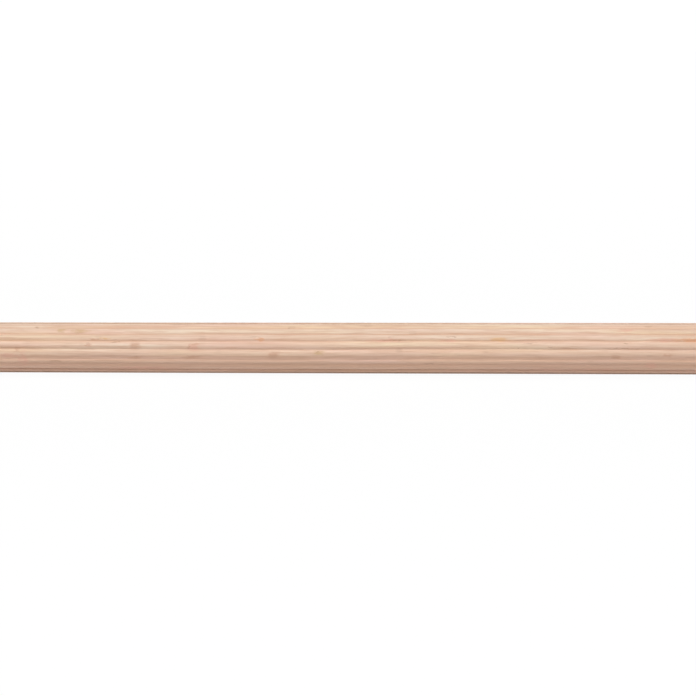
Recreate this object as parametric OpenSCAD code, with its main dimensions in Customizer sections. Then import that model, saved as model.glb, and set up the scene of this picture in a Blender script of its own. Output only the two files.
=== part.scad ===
// Fluted dowel rod.
// One straight piece of beech. Rounded ridges and narrow flutes run its whole
// length, and both ends are sawn square. In a glued joint the flutes let air
// and spare glue escape while the ridge crests grip the drilled hole.
//
// Frame: X runs along the rod and Z is up. The origin is on the rod's axis at
// mid-length. A flute faces straight down, so the rod lies on two ridges.

/* [Rod] */
// Diameter over the ridge crests, which is the drill size that the rod fits
rod_d = 10; // [6:0.5:20]
// Length from one sawn end to the other
rod_len = 300; // [50:10:600]

/* [Flutes] */
// How many flutes are spaced evenly round the rod
flute_count = 20; // [12:1:28]
// Depth of a flute below the ridge crests
flute_depth = 0.26; // [0.1:0.02:0.4]
// Width of the narrow floor of a flute
flute_floor_w = 0.16; // [0.04:0.02:0.3]

/* [Hidden] */
$fa = 2;
$fs = 0.03;

crest_r = rod_d / 2;
core_r = crest_r - flute_depth;
flute_pitch = 360 / flute_count;
// Half of the angle that a ridge spans where it meets the flute floors
ridge_half_angle = flute_pitch / 2 - asin(flute_floor_w / 2 / core_r);
// A ridge's back is an arc through its crest and through both edges of its foot.
// The arc's centre lies on the ridge's own radius, this far from the axis.
ridge_centre_r = (pow(crest_r, 2) - pow(core_r, 2))
    / (2 * (crest_r - core_r * cos(ridge_half_angle)));
ridge_back_r = crest_r - ridge_centre_r;
straight_down = -90;

// One ridge: the round whose outer arc is the ridge's back
module ridge_section(angle) {
    rotate(angle) translate([ridge_centre_r, 0]) circle(r = ridge_back_r);
}

// The rod's cross-section: a round core with a ridge between each pair of flutes
module fluted_section() {
    circle(r = core_r);
    for (i = [0 : flute_count - 1])
        ridge_section(straight_down + (i + 0.5) * flute_pitch);
}

module dowel_rod() {
    color([0.87, 0.74, 0.62])
        rotate([90, 0, 90])
            linear_extrude(height = rod_len, center = true) fluted_section();
}

dowel_rod();
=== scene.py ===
"""Looks of a fluted dowel rod: one length of beech with rounded ridges and narrow flutes.

The rod lies along X with its axis on the origin, and +Z is up. Lengths are in metres.
Angles round the rod are counted from straight down, through the front (-Y) and on up,
so 90 degrees faces the front and 180 degrees faces the sky.
"""

import math

import bmesh
import bpy
from bpy.props import FloatProperty, FloatVectorProperty, IntProperty, PointerProperty
from bpy.types import Operator, Panel, PropertyGroup
from mathutils import Matrix, Vector, noise


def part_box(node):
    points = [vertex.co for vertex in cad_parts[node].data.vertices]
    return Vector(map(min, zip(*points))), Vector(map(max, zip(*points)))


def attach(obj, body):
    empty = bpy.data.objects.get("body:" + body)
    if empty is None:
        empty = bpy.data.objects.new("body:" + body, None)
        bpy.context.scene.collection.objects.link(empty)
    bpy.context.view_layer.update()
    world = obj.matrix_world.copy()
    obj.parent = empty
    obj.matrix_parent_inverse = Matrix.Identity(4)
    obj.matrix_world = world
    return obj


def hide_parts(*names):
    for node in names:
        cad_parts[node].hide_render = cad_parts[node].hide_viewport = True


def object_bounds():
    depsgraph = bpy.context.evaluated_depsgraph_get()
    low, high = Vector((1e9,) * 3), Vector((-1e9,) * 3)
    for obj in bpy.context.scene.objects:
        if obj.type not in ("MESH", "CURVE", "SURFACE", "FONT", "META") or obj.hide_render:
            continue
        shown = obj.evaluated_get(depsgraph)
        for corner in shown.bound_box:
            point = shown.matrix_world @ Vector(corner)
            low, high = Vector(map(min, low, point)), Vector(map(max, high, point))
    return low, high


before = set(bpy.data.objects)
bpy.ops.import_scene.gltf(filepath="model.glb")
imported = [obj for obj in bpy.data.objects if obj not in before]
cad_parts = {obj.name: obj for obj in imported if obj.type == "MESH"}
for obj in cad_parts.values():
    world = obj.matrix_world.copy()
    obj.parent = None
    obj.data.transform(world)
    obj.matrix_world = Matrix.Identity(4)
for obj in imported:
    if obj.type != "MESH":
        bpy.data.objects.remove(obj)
CAD_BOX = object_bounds()
ROD_LOW, ROD_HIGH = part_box("dowel_rod")

bl_info = {
    "name": "Fluted Dowel Rod",
    "version": (1, 0, 0),
    "blender": (4, 5, 0),
    "location": "View3D > Sidebar > Dowel",
    "description": "A fluted beech dowel rod, with its floor, light and camera",
    "category": "Object",
}

MM = 0.001
# Degrees round the rod become metres at this radius, the rod's plain one over its crests
PLAIN_RADIUS = 5 * MM

# ------------------------------------------------------------------------ the flutes

# A moulding cutter puts no flute quite where it should be. Each flute's own shift
# round the rod in degrees, its share of the full depth, and its floor against a plain one.
FLUTE_SHIFTS = (0, -2, 0, -4.3, -1.8, -3.0, 0.8, 2.2, 2.1, 3.2, 9, 7, 4, 2, 2, -1, -2, 0, 2, 1)
FLUTE_DEPTHS = (0.9, 0.8, 1, 1, 0.55, 0.45, 0.78, 0.9, 1, 0.95, 0.95, 0.9, 0.75, 0.85,
                0.8, 0.9, 0.9, 0.7, 0.9, 0.85)
FLUTE_FLOORS = (1, 1.5, 1, 1, 1, 3.2, 1, 1, 1, 1, 1, 1, 1.8, 1, 1.5, 1, 1, 2.2, 1, 1)
# The rod sways as it runs past the cutter, and takes all its flutes with it: the length
# of one sway, where along the rod it is upright, and degrees each way
SWAY = (135 * MM, 4 * MM, 0.9)
# Each flute also wanders by itself: the length of one swing, degrees each way, and the
# layer of the noise that draws it
SLOW_SWING = (24 * MM, 0.5, 0)
QUICK_SWING = (6 * MM, 0.45, 20)
# The length over which a flute's depth comes and goes, the share of it that does, and
# the layer of the noise
DEPTH_SWING = (12 * MM, 0.15, 40)
# Within a layer, flutes read lines of the noise that lie this far apart
NOISE_STEP = 3.7

# Points that draw one ridge, from flute to flute
RIDGE_POINTS = 12
# Length of rod between two rings of points
RING_STEP = 1 * MM


def flute_at(rod, index, x):
    """A flute's middle, in degrees, its depth and its floor, at a place along the rod."""
    line = NOISE_STEP * index
    length, upright, sway = SWAY
    middle = index * 360 / rod.flute_count + FLUTE_SHIFTS[index % len(FLUTE_SHIFTS)]
    middle += sway * math.sin(math.tau * (x - upright) / length)
    # The noise mostly stays between -0.5 and 0.5, so it is doubled
    for length, swing, layer in (SLOW_SWING, QUICK_SWING):
        middle += 2 * swing * noise.noise(Vector((x / length, line, layer)))
    length, share, layer = DEPTH_SWING
    depth = FLUTE_DEPTHS[index % len(FLUTE_DEPTHS)]
    depth *= 1 + 2 * share * noise.noise(Vector((x / length, line, layer)))
    floor = rod.flute_floor * FLUTE_FLOORS[index % len(FLUTE_FLOORS)]
    return middle, rod.flute_depth * min(depth, 1), floor


def ridge_radius(crest_r, core_r, half_angle, off_angle):
    """Distance from the axis to a ridge's back, at an angle off the ridge's crest.

    The back is an arc over the crest that comes down to core_r at half_angle.
    """
    centre_r = (crest_r**2 - core_r**2) / (2 * (crest_r - core_r * math.cos(half_angle)))
    back_r = crest_r - centre_r
    sideways = centre_r * math.sin(off_angle)
    return centre_r * math.cos(off_angle) + math.sqrt(back_r**2 - sideways**2)


def section_points(rod, x):
    """The rod's fluted outline at a place along it, as points."""
    crest_r = rod.diameter / 2
    flutes = [flute_at(rod, index, x) for index in range(rod.flute_count)]
    points = []
    for index, start in enumerate(flutes):
        end = flutes[(index + 1) % rod.flute_count]
        past = 360 if index + 1 == rod.flute_count else 0
        crest_angle = math.radians(start[0] + end[0] + past) / 2
        half_pitch = math.radians(end[0] + past - start[0]) / 2
        for step in range(RIDGE_POINTS):
            share = step / (RIDGE_POINTS - 1)
            _, depth, floor = start if share < 0.5 else end
            half_angle = half_pitch - math.asin(floor / 2 / (crest_r - depth))
            off_angle = (2 * share - 1) * half_angle
            radius = ridge_radius(crest_r, crest_r - depth, half_angle, off_angle)
            turn = crest_angle + off_angle
            points.append(Vector((x, -radius * math.sin(turn), -radius * math.cos(turn))))
    return points


# --------------------------------------------------------------------------- the wood

# The pith of the tree lay this far from the rod's axis, below it and to the front, so
# growth rings cross the rod as flat arcs. The turn brings the way to the pith onto -Z.
PITH_DISTANCE = 62 * MM
PITH_TURN = math.radians(40)
RING_WIDTH = 2.3 * MM
# How far a growth ring wavers, in rings
RING_WAVER = 0.9
# Tones inside one growth ring: (place from its early wood to its late wood, tone)
RING_TONES = ((0.06, 0.0), (0.5, 0.15), (0.85, 0.6))
# Share of the cells that stay without a ray, and how much of a ray is its soft outline
RAYLESS = 0.45
RAY_OUTLINE = 0.45
# How far noise pushes the outline of a mark, along the grain and across it, and the
# size of the noise's lumps
RAGGED = (1.6 * MM, 0.4 * MM)
RAGGED_LUMPS = (1.2 * MM, 0.3 * MM, 0.3 * MM)

# Marks that stand out on the front of the rod, by kind: (mm along from the middle,
# degrees round, half its length in mm, half its width in mm, tilt in degrees)
ORANGE_FLECKS = (
    (-16.9, 131.5, 1.2, 0.5, 3),
    (66.2, 131.8, 5.0, 0.38, 0),
)
YELLOW_FLECKS = (
    (29.2, 132.0, 2.2, 0.5, -2),
    (-47.0, 132.5, 1.2, 0.35, 0),
)
PINK_STREAKS = (
    (60.6, 131.5, 4.5, 0.5, 0),
    (53.4, 157.0, 1.9, 0.6, 0),
    (19.8, 130.0, 2.2, 0.4, 1),
    (7.6, 130.0, 4.5, 0.35, 0),
    (-39.2, 59.5, 10.0, 0.5, 0),
    (38.5, 57.5, 4.0, 0.5, 0),
    (47.5, 57.5, 8.0, 0.5, 0),
    (58.2, 70.0, 1.5, 1.2, 5),
    (-63.1, 84.0, 1.0, 2.2, 0),
    (-66.0, 93.0, 2.6, 0.7, 0),
    (-29.6, 113.0, 1.3, 1.1, 0),
)
BROWN_STAINS = (
    (-41.0, 116.5, 1.5, 1.0, 4),
    (-29.5, 119.8, 0.9, 0.25, 0),
    (-30.6, 114.5, 0.4, 0.7, 0),
    (-14.0, 96.0, 1.8, 1.0, 8),
    (-40.8, 88.0, 1.6, 0.5, 0),
    (-29.8, 89.0, 2.6, 0.5, 4),
    (61.0, 97.0, 0.9, 0.5, 0),
    (-50.2, 118.0, 0.7, 0.5, 0),
    (-49.0, 131.0, 1.1, 0.3, 0),
    (51.4, 92.0, 1.2, 0.6, 0),
    (-64.3, 107.0, 0.9, 0.5, 30),
)
GREY_STAINS = (
    (-55.8, 155.5, 1.3, 0.8, 0),
    (-52.1, 154.5, 1.9, 0.75, 0),
    (-5.4, 101.0, 1.6, 0.7, 0),
)
DARK_DASHES = (
    (-61.0, 167.5, 0.8, 0.18, 0),
    (-50.2, 122.6, 0.8, 0.13, 0),
    (-44.7, 125.0, 1.0, 0.12, 0),
    (-56.2, 78.5, 3.0, 0.11, 0),
    (-33.4, 177.0, 2.4, 0.3, 0),
    (-18.2, 137.0, 1.3, 0.13, 0),
    (3.6, 173.5, 1.6, 0.25, 0),
    (8.3, 137.5, 0.7, 0.15, 0),
    (20.0, 138.0, 1.3, 0.13, 0),
    (9.3, 130.3, 3.0, 0.09, 0),
    (15.5, 73.5, 1.6, 0.18, 0),
    (34.9, 123.5, 1.5, 0.12, 0),
    (39.3, 114.5, 1.0, 0.1, 0),
    (52.7, 112.0, 4.5, 0.1, 0),
    (53.6, 123.5, 0.7, 0.15, 0),
    (52.8, 165.0, 0.9, 0.2, 0),
    (33.0, 112.0, 0.3, 0.24, 0),
    (-11.2, 164.0, 0.35, 0.24, 0),
    (-5.4, 104.0, 0.3, 0.22, 0),
)
# Bands that run the whole length: a darker band along the lower front, and two dark
# lines of painted shade, along the top just behind straight up and low on the front,
# where the outline lies in the front view. They are drawn much longer than the rod,
# so that they don't fade towards its ends.
ENDLESS = 600
DARK_LOWER_FRONT_BANDS = ((0.0, 69.0, ENDLESS, 0.8, 0),)
OUTLINE_SHADE_LINES = (
    (0.0, -170.0, ENDLESS, 0.6, 0),
    (0.0, 33.0, ENDLESS, 0.5, 0),
)


def hex_colour(code):
    """The linear RGB of an sRGB hex value."""
    parts = (int(code[i : i + 2], 16) / 255 for i in (1, 3, 5))
    return tuple(c / 12.92 if c <= 0.04045 else ((c + 0.055) / 1.055) ** 2.4 for c in parts)


def add_node(tree, kind, inputs=None, **settings):
    """Adds a node. An input given as another node's output is linked, and any other is set."""
    node = tree.nodes.new("ShaderNode" + kind)
    for name, value in settings.items():
        setattr(node, name, value)
    for key, value in (inputs or {}).items():
        if isinstance(value, bpy.types.NodeSocket):
            tree.links.new(value, node.inputs[key])
        else:
            node.inputs[key].default_value = value
    return node


def new_material(name):
    """A material with an empty node tree, and the tree's output node."""
    material = bpy.data.materials.new(name)
    material.use_nodes = True
    tree = material.node_tree
    tree.nodes.clear()
    return material, tree, tree.nodes.new("ShaderNodeOutputMaterial")


def layered(tree, colour, layers):
    """Lays tones over a colour: (tone, field, low, high, most) from the lowest layer up.

    A tone shows from 0, where its field is low, up to a share of most, where it is high.
    """
    # The sockets of a colour mix: 0 is the share, 6 what lies below and 7 what goes over it
    colour = (*colour, 1)
    for tone, field, low, high, most in layers:
        span = {"Value": field, "From Min": low, "From Max": high, "To Max": most}
        share = add_node(tree, "MapRange", span).outputs[0]
        mixed = add_node(tree, "Mix", {0: share, 6: colour, 7: (*tone, 1)}, data_type="RGBA")
        colour = mixed.outputs[2]
    return colour


def log_coordinates(tree):
    """Object coordinates turned into the log's own: along, round the pith, out from it."""
    place = add_node(tree, "TexCoord").outputs["Object"]
    to_pith = {"Vector": place, "Location": (0, 0, PITH_DISTANCE), "Rotation": (PITH_TURN, 0, 0)}
    from_pith = add_node(tree, "Mapping", to_pith).outputs[0]
    along, y, z = add_node(tree, "SeparateXYZ", {0: from_pith}).outputs
    flat = add_node(tree, "CombineXYZ", {"Y": y, "Z": z}).outputs[0]
    out = add_node(tree, "VectorMath", {0: flat}, operation="LENGTH").outputs["Value"]
    turn = add_node(tree, "Math", {0: y, 1: z}, operation="ARCTAN2").outputs[0]
    around = add_node(tree, "Math", {0: turn, 1: PITH_DISTANCE}, operation="MULTIPLY").outputs[0]
    return add_node(tree, "CombineXYZ", {"X": along, "Y": around, "Z": out}).outputs[0], out


def grain_noise(tree, log, size):
    """Noise in lumps of a size: metres along the grain, round the pith and out from it."""
    lumps = add_node(tree, "VectorMath", {0: log, 1: size}, operation="DIVIDE").outputs[0]
    return add_node(tree, "TexNoise", {"Vector": lumps, "Scale": 1, "Detail": 2}).outputs[0]


def growth_rings(tree, log, out):
    """From 0 in early wood, slowly up to 1 in late wood, then sharply back."""
    waver = grain_noise(tree, log, (60 * MM, 8 * MM, 8 * MM))
    ring = add_node(tree, "Math", {0: out, 1: RING_WIDTH}, operation="DIVIDE").outputs[0]
    terms = {0: waver, 1: RING_WAVER, 2: ring}
    bent = add_node(tree, "Math", terms, operation="MULTIPLY_ADD").outputs[0]
    phase = add_node(tree, "Math", {0: bent}, operation="FRACT").outputs[0]
    slope = add_node(tree, "ValToRGB", {"Fac": phase})
    stops = slope.color_ramp.elements
    stops[0].color = (1, 1, 1, 1)
    stops[1].color = (1, 1, 1, 1)
    for position, tone in RING_TONES:
        stops.new(position).color = (tone, tone, tone, 1)
    return slope.outputs[0]


def ray_sheets(tree, log, spacing, half_size):
    """Rays: thin upright sheets of soft cells that run out from the pith.

    A sheet that the surface cuts across shows as a dash, and one that lies along the
    surface as a broad fleck. Sheets differ in strength from 0 to 1.
    """
    cells = add_node(tree, "VectorMath", {0: log, 1: spacing}, operation="DIVIDE").outputs[0]
    voronoi = add_node(tree, "TexVoronoi", {"Vector": cells, "Scale": 1}).outputs
    points = {0: cells, 1: voronoi["Position"]}
    away = add_node(tree, "VectorMath", points, operation="SUBTRACT").outputs[0]
    stretch = tuple(space / half for space, half in zip(spacing, half_size))
    sheet = add_node(tree, "VectorMath", {0: away, 1: stretch}, operation="MULTIPLY").outputs[0]
    ball = add_node(tree, "TexGradient", {0: sheet}, gradient_type="SPHERICAL").outputs[0]
    chance = add_node(tree, "SeparateColor", {0: voronoi["Color"]}).outputs[0]
    strength = add_node(tree, "MapRange", {"Value": chance, "From Min": RAYLESS}).outputs[0]
    solid = add_node(tree, "MapRange", {"Value": ball, "From Max": RAY_OUTLINE}).outputs[0]
    return add_node(tree, "Math", {0: solid, 1: strength}, operation="MULTIPLY").outputs[0]


def surface_coordinates(tree):
    """The rod's surface laid flat: along, and round from straight down, in metres.

    A little noise is added, so that what is drawn here gets the ragged outline that
    wood cells give it. It adds RAGGED on average, and twice that at most.
    """
    place = add_node(tree, "TexCoord").outputs["Object"]
    along, y, z = add_node(tree, "SeparateXYZ", {0: place}).outputs
    back = add_node(tree, "Math", {0: y, 1: -1}, operation="MULTIPLY").outputs[0]
    down = add_node(tree, "Math", {0: z, 1: -1}, operation="MULTIPLY").outputs[0]
    turn = add_node(tree, "Math", {0: back, 1: down}, operation="ARCTAN2").outputs[0]
    around = add_node(tree, "Math", {0: turn, 1: PLAIN_RADIUS}, operation="MULTIPLY").outputs[0]
    flat = add_node(tree, "CombineXYZ", {"X": along, "Y": around}).outputs[0]
    lumps = add_node(tree, "VectorMath", {0: place, 1: RAGGED_LUMPS}, operation="DIVIDE").outputs[0]
    push = add_node(tree, "TexNoise", {"Vector": lumps, "Scale": 1, "Detail": 2}).outputs["Color"]
    terms = {0: push, 1: (2 * RAGGED[0], 2 * RAGGED[1], 0), 2: flat}
    return add_node(tree, "VectorMath", terms, operation="MULTIPLY_ADD").outputs[0]


def placed_marks(tree, flat, marks):
    """The marks of one kind: 1 in the middle of a mark, down to 0 at its outline."""
    strongest = None
    for along, turn, half_length, half_width, tilt in marks:
        around = math.radians(turn) * PLAIN_RADIUS
        place = {
            "Vector": flat,
            "Location": (along * MM + RAGGED[0], around + RAGGED[1], 0),
            "Rotation": (0, 0, math.radians(tilt)),
            "Scale": (half_length * MM, half_width * MM, 1),
        }
        spot = add_node(tree, "Mapping", place, vector_type="TEXTURE").outputs[0]
        ball = add_node(tree, "TexGradient", {0: spot}, gradient_type="SPHERICAL").outputs[0]
        if strongest is None:
            strongest = ball
        else:
            both = {0: strongest, 1: ball}
            strongest = add_node(tree, "Math", both, operation="MAXIMUM").outputs[0]
    return strongest


def moulded_beech(rod, colours):
    """Beech, moulded to shape and left bare.

    The cutter leaves it smooth but unpolished, so it is dull. Its tan drifts to cream
    and to pink. Fibres give faint long streaks, growth rings faint long bands, and rays
    the small dark dashes and the broader flecks that tell it is beech. The flutes' floors
    are painted a shade darker, as painted shade in the hollows, and the crests a shade
    paler, as a painted highlight. The side away from the pith is paler and the side
    towards it redder: partly the wood's own sap and heart, and partly a painted sheen
    on the top and painted shade on the lower front. A darker band runs along the lower
    front, and dark lines of painted shade run along the top and low on the front, where
    the outline lies in the front view.
    """
    material, tree, output = new_material("moulded_beech")
    log, out = log_coordinates(tree)
    cream = grain_noise(tree, log, (40 * MM, 2.4 * MM, 2.4 * MM))
    blush = grain_noise(tree, log, (28 * MM, 1.4 * MM, 1.7 * MM))
    bands = grain_noise(tree, log, (26 * MM, 0.6 * MM, 0.6 * MM))
    streaks = grain_noise(tree, log, (5 * MM, 0.25 * MM, 0.25 * MM))
    # Fibres are 0.02 mm wide: drawn four times as coarse, so that they show
    fibres = grain_noise(tree, log, (2 * MM, 0.08 * MM, 0.08 * MM))
    rings = growth_rings(tree, log, out)
    rays = ray_sheets(tree, log, (3.4 * MM, 1.1 * MM, 3 * MM), (1.0 * MM, 0.12 * MM, 1.2 * MM))
    flat = surface_coordinates(tree)
    place = add_node(tree, "TexCoord").outputs["Object"]
    across = add_node(tree, "VectorMath", {0: place, 1: (0, 1, 1)}, operation="MULTIPLY").outputs[0]
    radius = add_node(tree, "VectorMath", {0: across}, operation="LENGTH").outputs["Value"]
    crest = rod.diameter / 2
    colour = layered(
        tree, colours.wood,
        (
            # Paler away from the pith: partly the wood's sap side, partly a painted sheen on the top
            # side
            (colours.sap_and_sheen, out, PITH_DISTANCE - 1 * MM, PITH_DISTANCE + 5 * MM, 1),
            (colours.cream, cream, 0.42, 0.68, 0.7),
            # Redder towards the pith: partly the wood's heart side, partly painted shade on the
            # lower front
            (colours.heart_and_shade, out, PITH_DISTANCE - 1.8 * MM, PITH_DISTANCE - 3.0 * MM, 1),
            (colours.blush, blush, 0.42, 0.68, 0.8),
            (colours.late_wood_and_shade, rings, 0, 1, 0.25),
            (colours.late_wood_and_shade, bands, 0.42, 0.72, 0.6),
            (colours.late_wood_and_shade, streaks, 0.44, 0.7, 0.7),
            (colours.wood, fibres, 0.5, 0.75, 0.25),
            (colours.dash, rays, 0, 1, 0.3),
            # Painted shade: the flutes' floors a shade darker, where the hollows fall in shade
            (colours.late_wood_and_shade, radius, crest - 0.23 * MM, crest - 0.31 * MM, 0.6),
            # Painted highlight: the crests a shade paler
            (colours.sap_and_sheen, radius, crest - 0.04 * MM, crest, 0.15),
            # A darker band along the lower front, 69 degrees round
            (colours.late_wood_and_shade, placed_marks(tree, flat, DARK_LOWER_FRONT_BANDS), 0, 0.7, 0.45),
            # Painted shade: dark lines along the top and low on the front, where the outline lies in
            # the front view
            (colours.dash, placed_marks(tree, flat, OUTLINE_SHADE_LINES), 0, 0.7, 0.7),
            (colours.streak, placed_marks(tree, flat, PINK_STREAKS), 0, 0.7, 0.7),
            (colours.stain, placed_marks(tree, flat, BROWN_STAINS), 0, 0.7, 0.75),
            (colours.grey, placed_marks(tree, flat, GREY_STAINS), 0, 0.7, 0.8),
            (colours.honey, placed_marks(tree, flat, YELLOW_FLECKS), 0, 0.6, 0.8),
            (colours.fleck, placed_marks(tree, flat, ORANGE_FLECKS), 0, 0.6, 0.85),
            (colours.dash, placed_marks(tree, flat, DARK_DASHES), 0, 0.6, 0.6),
        ),
    )

    terms = {0: streaks, 1: 0.7, 2: fibres}
    height = add_node(tree, "Math", terms, operation="MULTIPLY_ADD").outputs[0]
    bump = add_node(tree, "Bump", {"Height": height, "Strength": 1, "Distance": 0.03 * MM})
    span = {"Value": fibres, "From Min": 0.3, "From Max": 0.7, "To Min": 0.6, "To Max": 0.75}
    roughness = add_node(tree, "MapRange", span).outputs[0]
    shader = add_node(
        tree, "BsdfPrincipled",
        {
            "Base Color": colour,
            "Roughness": roughness,
            "Normal": bump.outputs[0],
            "IOR": 1.5,
            "Specular IOR Level": 0.5,
            "Sheen Weight": 0.15,
            "Sheen Roughness": 0.5,
        },
    )
    tree.links.new(shader.outputs[0], output.inputs["Surface"])
    return material


def sawn_end_beech(colours):
    """End grain of beech, sawn across.

    Its open pores soak up light, so it is darker than the long grain. Growth rings
    cross it as flat arcs, rays as fine pale lines, and the saw leaves straight marks.
    """
    material, tree, output = new_material("sawn_end_beech")
    log, out = log_coordinates(tree)
    rings = growth_rings(tree, log, out)
    # Pores are 0.05 mm across: drawn twice as coarse, so that they show
    pores = grain_noise(tree, log, (3 * MM, 0.1 * MM, 0.1 * MM))
    rays = ray_sheets(tree, log, (3 * MM, 0.4 * MM, 5 * MM), (3 * MM, 0.06 * MM, 3.5 * MM))
    place = add_node(tree, "TexCoord").outputs["Object"]
    # Saw marks 0.8 mm apart. At a Scale of 1, bands lie 2 pi / 20 apart.
    bands = {"Vector": place, "Scale": math.tau / 20 / (0.8 * MM), "Distortion": 1.2, "Detail": 2}
    saw = add_node(tree, "TexWave", bands, bands_direction="Z").outputs["Fac"]

    colour = layered(
        tree, colours.end,
        (
            (colours.late_wood_and_shade, rings, 0, 1, 0.9),
            (colours.dash, pores, 0.5, 0.72, 0.45),
            (colours.wood, rays, 0, 0.6, 0.5),
        ),
    )
    terms = {0: saw, 1: 0.7, 2: pores}
    height = add_node(tree, "Math", terms, operation="MULTIPLY_ADD").outputs[0]
    bump = add_node(tree, "Bump", {"Height": height, "Strength": 0.8, "Distance": 0.06 * MM})
    shader = add_node(
        tree, "BsdfPrincipled",
        {
            "Base Color": colour,
            "Roughness": 0.8,
            "Normal": bump.outputs[0],
            "IOR": 1.5,
            "Specular IOR Level": 0.3,
        },
    )
    tree.links.new(shader.outputs[0], output.inputs["Surface"])
    return material


# ------------------------------------------------------------------- floor and backdrop

# The rod's shadow on the floor shows in full up to the first of these distances from the
# rod, and fades out up to the second
SHADOW_FADE = (20 * MM, 300 * MM)
# The floor's white is lifted a little, so that it is still white with the lit share in it
WHITE_LIFT = 1.0125


def seen_by_eye(tree):
    """1 for rays that show a background: from the camera, off gloss and through glass."""
    path = add_node(tree, "LightPath").outputs
    seen = path["Is Camera Ray"]
    for other in ("Is Glossy Ray", "Is Transmission Ray"):
        seen = add_node(tree, "Math", {0: seen, 1: path[other]}, operation="MAXIMUM").outputs[0]
    return seen


def matt_white_card(stage):
    """Matt white card: pure white to the eye, apart from the shadow close round the rod."""
    material, tree, output = new_material("matt_white_card")
    place = add_node(tree, "TexCoord").outputs["Object"]
    x, y, _ = add_node(tree, "SeparateXYZ", {0: place}).outputs
    beside = add_node(tree, "Math", {0: y}, operation="ABSOLUTE").outputs[0]
    along = add_node(tree, "Math", {0: x}, operation="ABSOLUTE").outputs[0]
    past_end = add_node(tree, "Math", {0: along, 1: CAD_BOX[1].x}, operation="SUBTRACT").outputs[0]
    away = add_node(tree, "Math", {0: beside, 1: past_end}, operation="MAXIMUM").outputs[0]
    near, far = SHADOW_FADE
    span = {"Value": away, "From Min": near, "From Max": far, "To Min": 1 - stage.shadow}
    white = add_node(tree, "MapRange", span).outputs[0]
    share = add_node(tree, "Math", {0: seen_by_eye(tree), 1: white}, operation="MULTIPLY").outputs[0]
    matt = add_node(tree, "BsdfDiffuse", {"Color": (*stage.card, 1)}).outputs[0]
    glow = add_node(tree, "Emission", {"Color": (1, 1, 1, 1), "Strength": WHITE_LIFT}).outputs[0]
    mixed = add_node(tree, "MixShader", {0: share, 1: matt, 2: glow}).outputs[0]
    tree.links.new(mixed, output.inputs["Surface"])
    return material


# ------------------------------------------------------------------- sizes and colours


class DowelRodSizes(PropertyGroup):
    """The rod's sizes. Its length and diameter are the solid rod's."""

    length: FloatProperty(
        name="Length", description="From one sawn end to the other",
        default=ROD_HIGH.x - ROD_LOW.x, min=0.05, unit="LENGTH",
    )
    diameter: FloatProperty(
        name="Diameter", description="Over the crests of the ridges",
        default=ROD_HIGH.z - ROD_LOW.z, min=0.006, unit="LENGTH",
    )
    flute_count: IntProperty(
        name="Flutes", description="How many flutes run along the rod",
        default=20, min=12, max=28,
    )
    flute_depth: FloatProperty(
        name="Flute depth", description="From the crests down to the deepest flute",
        default=0.34 * MM, min=0.05 * MM, precision=5, unit="LENGTH",
    )
    flute_floor: FloatProperty(
        name="Flute floor", description="Width of a flute's narrow floor",
        default=0.16 * MM, min=0.02 * MM, precision=5, unit="LENGTH",
    )


class DowelRodColours(PropertyGroup):
    """The colours of the wood."""

    wood: FloatVectorProperty(
        name="Wood", description="Clear early wood", subtype="COLOR",
        default=hex_colour("#EAD2BC"), min=0, max=1,
    )
    cream: FloatVectorProperty(
        name="Cream", description="Where the wood drifts to yellow", subtype="COLOR",
        default=hex_colour("#EFD1A8"), min=0, max=1,
    )
    blush: FloatVectorProperty(
        name="Blush", description="Where the wood drifts to pink", subtype="COLOR",
        default=hex_colour("#EBC4B3"), min=0, max=1,
    )
    # Also the painted sheen on the top side and the painted highlight on the crests
    sap_and_sheen: FloatVectorProperty(
        name="Sap side", description="Away from the pith, where the wood is paler",
        subtype="COLOR", default=hex_colour("#EDDBC6"), min=0, max=1,
    )
    # Also the painted shade on the lower front
    heart_and_shade: FloatVectorProperty(
        name="Heart side", description="Towards the pith, where the wood is redder",
        subtype="COLOR", default=hex_colour("#E7BFA5"), min=0, max=1,
    )
    # Also the painted shade in the flutes' floors
    late_wood_and_shade: FloatVectorProperty(
        name="Late wood", description="Growth rings and darker fibres", subtype="COLOR",
        default=hex_colour("#D2A88D"), min=0, max=1,
    )
    # Also the painted shade lines along the outline
    dash: FloatVectorProperty(
        name="Dashes", description="Rays that are cut across", subtype="COLOR",
        default=hex_colour("#B48D73"), min=0, max=1,
    )
    fleck: FloatVectorProperty(
        name="Orange flecks", description="Rays that lie along the surface", subtype="COLOR",
        default=hex_colour("#DDA682"), min=0, max=1,
    )
    honey: FloatVectorProperty(
        name="Yellow flecks", description="Rays that lie along the surface, yellower",
        subtype="COLOR", default=hex_colour("#DFB386"), min=0, max=1,
    )
    streak: FloatVectorProperty(
        name="Streak", description="Pink streaks of heartwood", subtype="COLOR",
        default=hex_colour("#E0AD97"), min=0, max=1,
    )
    stain: FloatVectorProperty(
        name="Stain", description="Brown heartwood stain", subtype="COLOR",
        default=hex_colour("#CFA186"), min=0, max=1,
    )
    grey: FloatVectorProperty(
        name="Grey stain", description="Greyish mineral stain", subtype="COLOR",
        default=hex_colour("#CEAA82"), min=0, max=1,
    )
    end: FloatVectorProperty(
        name="End grain", description="The sawn ends", subtype="COLOR",
        default=hex_colour("#E1BD9F"), min=0, max=1,
    )


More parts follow.
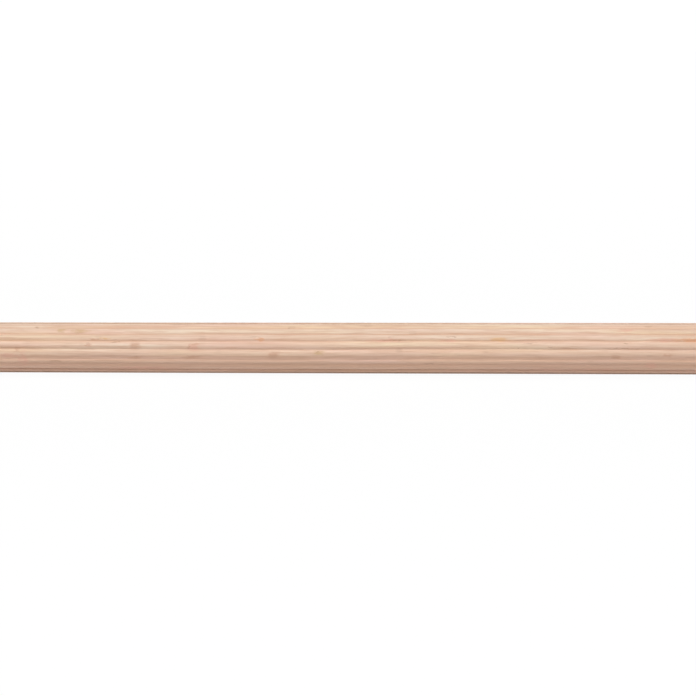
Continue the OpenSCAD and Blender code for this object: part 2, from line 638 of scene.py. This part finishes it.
class DowelStage(PropertyGroup):
    """The floor, the lamps and the camera."""

    floor_size: FloatProperty(
        name="Floor", description="Side of the square white floor",
        default=3.0, min=0.5, unit="LENGTH",
    )
    card: FloatVectorProperty(
        name="Card", description="The floor's own colour, in its shadows and in the light off it",
        subtype="COLOR", default=hex_colour("#DCDCDC"), min=0, max=1,
    )
    shadow: FloatProperty(
        name="Shadow", description="How much of the rod's shadow shows on the floor",
        default=0.05, min=0, max=1, subtype="FACTOR",
    )
    lamp_power: FloatProperty(
        name="Lamp", description="Power of the soft lamp over the front",
        default=13.2, min=0, unit="POWER",
    )
    lamp_length: FloatProperty(
        name="Lamp length", description="Length of the soft lamp, from front to back",
        default=0.95, min=0.05, unit="LENGTH",
    )
    lamp_height: FloatProperty(
        name="Lamp height", description="Angle of the soft lamp over the floor in front",
        default=math.radians(65), subtype="ANGLE",
    )
    back_power: FloatProperty(
        name="Back lamp", description="Power of the weaker lamp that lights the back",
        default=4.0, min=0, unit="POWER",
    )
    back_length: FloatProperty(
        name="Back lamp length", description="Length of the back lamp, from foot to top",
        default=0.4, min=0.05, unit="LENGTH",
    )
    back_height: FloatProperty(
        name="Back lamp height", description="Angle of the back lamp over the floor behind",
        default=math.radians(16), subtype="ANGLE",
    )
    lamp_width: FloatProperty(
        name="Lamp width", description="Width of both lamps, along the rod",
        default=2.0, min=0.05, unit="LENGTH",
    )
    lamp_distance: FloatProperty(
        name="Lamp distance", description="From the rod to each lamp",
        default=0.9, min=0.2, unit="LENGTH",
    )
    sky: FloatProperty(
        name="Sky", description="Level of the even light from all round", default=0.14, min=0,
    )
    eye_height: FloatProperty(
        name="Eye height", description="Angle from which the camera looks down",
        default=math.radians(22), subtype="ANGLE",
    )
    eye_turn: FloatProperty(
        name="Eye turn", description="How far round to the right the camera stands",
        default=math.radians(4.3), subtype="ANGLE",
    )
    eye_tilt: FloatProperty(
        name="Eye tilt", description="How far the camera is rolled, to lay the rod level",
        default=math.radians(-1.49), subtype="ANGLE",
    )
    eye_distance: FloatProperty(
        name="Eye distance", description="From the camera to the middle of the rod",
        default=0.3203, min=0.05, unit="LENGTH",
    )
    lens: FloatProperty(
        name="Lens", description="Focal length in mm, on a sensor 36 mm wide",
        default=85, min=20,
    )


# ---------------------------------------------------------------------------- operators


def by_points(part, count):
    """A number that sorts a mesh's edges, or its faces, by the points that they join."""
    points = [vert.index for vert in part.verts]
    return min(points) * count + max(points)


def swept_rod(rod):
    """A bmesh of the rod: a fluted ring run along X, with its wander, open at the ends.

    Returns it with the number of points round it and of steps along it.
    """
    steps = round(rod.length / RING_STEP)
    step = rod.length / steps
    around = rod.flute_count * RIDGE_POINTS
    bm = bmesh.new()
    bmesh.ops.create_circle(bm, segments=around, radius=rod.diameter / 2)
    bmesh.ops.spin(
        bm, geom=bm.verts[:] + bm.edges[:], cent=(0, 0, 0), axis=(1, 0, 0), angle=0,
        dvec=(step, 0, 0), steps=steps, use_merge=False,
    )
    bm.verts.ensure_lookup_table()
    for ring in range(steps + 1):
        for place, point in enumerate(section_points(rod, ring * step - rod.length / 2)):
            bm.verts[ring * around + place].co = point
    # The spin makes edges and faces in an order that differs from run to run
    bm.verts.index_update()
    for parts in (bm.edges, bm.faces):
        parts.sort(key=lambda part: by_points(part, len(bm.verts)))
    return bm, around, steps


# The rod's map, in shares of its side: how many strips the long surface is cut into, the
# height of a strip, the step from one strip to the next, the corner of the first, and
# the middles of the left and the right end
STRIPS = 3
STRIP_HEIGHT = 0.9
STRIP_STEP = 0.33
FIRST_STRIP = (0.01, 0.004)
END_MIDDLES = ((0.06, 0.955), (0.18, 0.955))
# The fluted outline is longer than the circle over its crests, by about this much
OUTLINE_LENGTH = 1.04
# Edges that turn by more than this are sharp
SHARP_ANGLE = math.radians(20)


def is_end(face):
    """Whether a face is one of the sawn ends: all others have four corners."""
    return len(face.verts) > 4


def lay_flat(bm, rod, around, steps):
    """The rod's own map: its surface cut into strips side by side, with the ends above.

    Strips keep a long thin rod large in a square map, and every millimetre the same.
    """
    per_strip = steps / STRIPS
    width = math.pi * rod.diameter * OUTLINE_LENGTH
    scale = STRIP_HEIGHT / (rod.length / STRIPS)
    layer = bm.loops.layers.uv.new("OFBake")
    for face in bm.faces:
        rings = [loop.vert.index // around for loop in face.loops]
        places = [loop.vert.index % around for loop in face.loops]
        if is_end(face):
            across, up = END_MIDDLES[rings[0] > 0]
            for loop in face.loops:
                _, y, z = loop.vert.co
                loop[layer].uv = (across + y * scale, up + z * scale)
            continue
        strip = min(int(min(rings) / per_strip), STRIPS - 1)
        for loop, ring, place in zip(face.loops, rings, places):
            if place == 0 and max(places) == around - 1:
                place = around
            across = strip * STRIP_STEP + place / around * width * scale
            up = (ring / per_strip - strip) * STRIP_HEIGHT
            loop[layer].uv = (FIRST_STRIP[0] + across, FIRST_STRIP[1] + up)


class DOWEL_OT_rod(Operator):
    """Makes the fluted rod, and gives it its moulded and sawn surfaces"""

    bl_idname = "object.dowel_rod_add"
    bl_label = "Add Fluted Rod"

    def execute(self, context):
        rod = context.scene.dowel_rod
        bm, around, steps = swept_rod(rod)
        bmesh.ops.holes_fill(bm, edges=[edge for edge in bm.edges if edge.is_boundary])
        bmesh.ops.recalc_face_normals(bm, faces=bm.faces)
        bm.verts.index_update()
        lay_flat(bm, rod, around, steps)
        for face in bm.faces:
            face.smooth = not is_end(face)
            face.material_index = int(is_end(face))

        mesh = bpy.data.meshes.new("rod")
        bm.to_mesh(mesh)
        bm.free()
        mesh.set_sharp_from_angle(angle=SHARP_ANGLE)
        colours = context.scene.dowel_colours
        mesh.materials.append(moulded_beech(rod, colours))
        mesh.materials.append(sawn_end_beech(colours))
        piece = bpy.data.objects.new("rod", mesh)
        context.scene.collection.objects.link(piece)
        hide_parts("dowel_rod")
        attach(piece, "root")
        return {"FINISHED"}


class DOWEL_OT_stage(Operator):
    """Makes the floor, the backdrop, the two soft lamps and the camera"""

    bl_idname = "object.dowel_stage_add"
    bl_label = "Add Stage"

    def execute(self, context):
        scene = context.scene
        stage = scene.dowel_stage

        bm = bmesh.new()
        bmesh.ops.create_grid(bm, x_segments=1, y_segments=1, size=stage.floor_size / 2)
        bmesh.ops.translate(bm, verts=bm.verts, vec=(0, 0, CAD_BOX[0].z))
        mesh = bpy.data.meshes.new("floor")
        bm.to_mesh(mesh)
        bm.free()
        mesh.materials.append(matt_white_card(stage))
        floor = bpy.data.objects.new("floor", mesh)
        scene.collection.objects.link(floor)

        world = bpy.data.worlds.new("white_backdrop")
        world.use_nodes = True
        tree = world.node_tree
        tree.nodes.clear()
        span = {"Value": seen_by_eye(tree), "To Min": stage.sky}
        level = add_node(tree, "MapRange", span).outputs[0]
        glow = add_node(tree, "Background", {"Color": (1, 1, 1, 1), "Strength": level})
        output = tree.nodes.new("ShaderNodeOutputWorld")
        tree.links.new(glow.outputs[0], output.inputs["Surface"])
        scene.world = world

        for name, power, length, height in (
            ("soft_lamp", stage.lamp_power, stage.lamp_length, stage.lamp_height),
            ("back_lamp", stage.back_power, stage.back_length, math.pi - stage.back_height),
        ):
            lamp_data = bpy.data.lights.new(name, "AREA")
            lamp_data.energy = power
            lamp_data.shape = "RECTANGLE"
            lamp_data.size = stage.lamp_width
            lamp_data.size_y = length
            lamp = bpy.data.objects.new(name, lamp_data)
            lamp.location = Vector((0, -math.cos(height), math.sin(height))) * stage.lamp_distance
            lamp.rotation_euler = lamp.location.to_track_quat("Z", "Y").to_euler()
            lamp.visible_camera = False
            scene.collection.objects.link(lamp)

        camera_data = bpy.data.cameras.new("eye")
        camera_data.lens = stage.lens
        camera_data.clip_start = 10 * MM
        camera = bpy.data.objects.new("eye", camera_data)
        turn = Matrix.Rotation(stage.eye_turn, 4, "Z")
        lift = Matrix.Rotation(math.pi / 2 - stage.eye_height, 4, "X")
        tilt = Matrix.Rotation(stage.eye_tilt, 4, "Z")
        back = Matrix.Translation((0, 0, stage.eye_distance))
        camera.matrix_world = turn @ lift @ back @ tilt
        scene.collection.objects.link(camera)
        scene.camera = camera

        scene.view_settings.view_transform = "Standard"
        return {"FINISHED"}


# -------------------------------------------------------------------------------- panel


class DOWEL_PT_sidebar(Panel):
    """Sizes and colours of the rod and its stage, and the buttons that make them"""

    bl_idname = "DOWEL_PT_sidebar"
    bl_label = "Fluted Dowel Rod"
    bl_space_type = "VIEW_3D"
    bl_region_type = "UI"
    bl_category = "Dowel"

    def draw(self, context):
        scene = context.scene
        for heading, group, button in (
            ("Rod", scene.dowel_rod, None),
            ("Wood", scene.dowel_colours, DOWEL_OT_rod),
            ("Stage", scene.dowel_stage, DOWEL_OT_stage),
        ):
            box = self.layout.box()
            box.label(text=heading)
            for name in group.__annotations__:
                box.prop(group, name)
            if button:
                box.operator(button.bl_idname)


CLASSES = (
    DowelRodSizes,
    DowelRodColours,
    DowelStage,
    DOWEL_OT_rod,
    DOWEL_OT_stage,
    DOWEL_PT_sidebar,
)


def register():
    for cls in CLASSES:
        bpy.utils.register_class(cls)
    bpy.types.Scene.dowel_rod = PointerProperty(type=DowelRodSizes)
    bpy.types.Scene.dowel_colours = PointerProperty(type=DowelRodColours)
    bpy.types.Scene.dowel_stage = PointerProperty(type=DowelStage)


def unregister():
    del bpy.types.Scene.dowel_stage
    del bpy.types.Scene.dowel_colours
    del bpy.types.Scene.dowel_rod
    for cls in reversed(CLASSES):
        bpy.utils.unregister_class(cls)


def main():
    register()
    bpy.ops.object.dowel_stage_add()
    bpy.ops.object.dowel_rod_add()


if __name__ == "__main__":
    main()
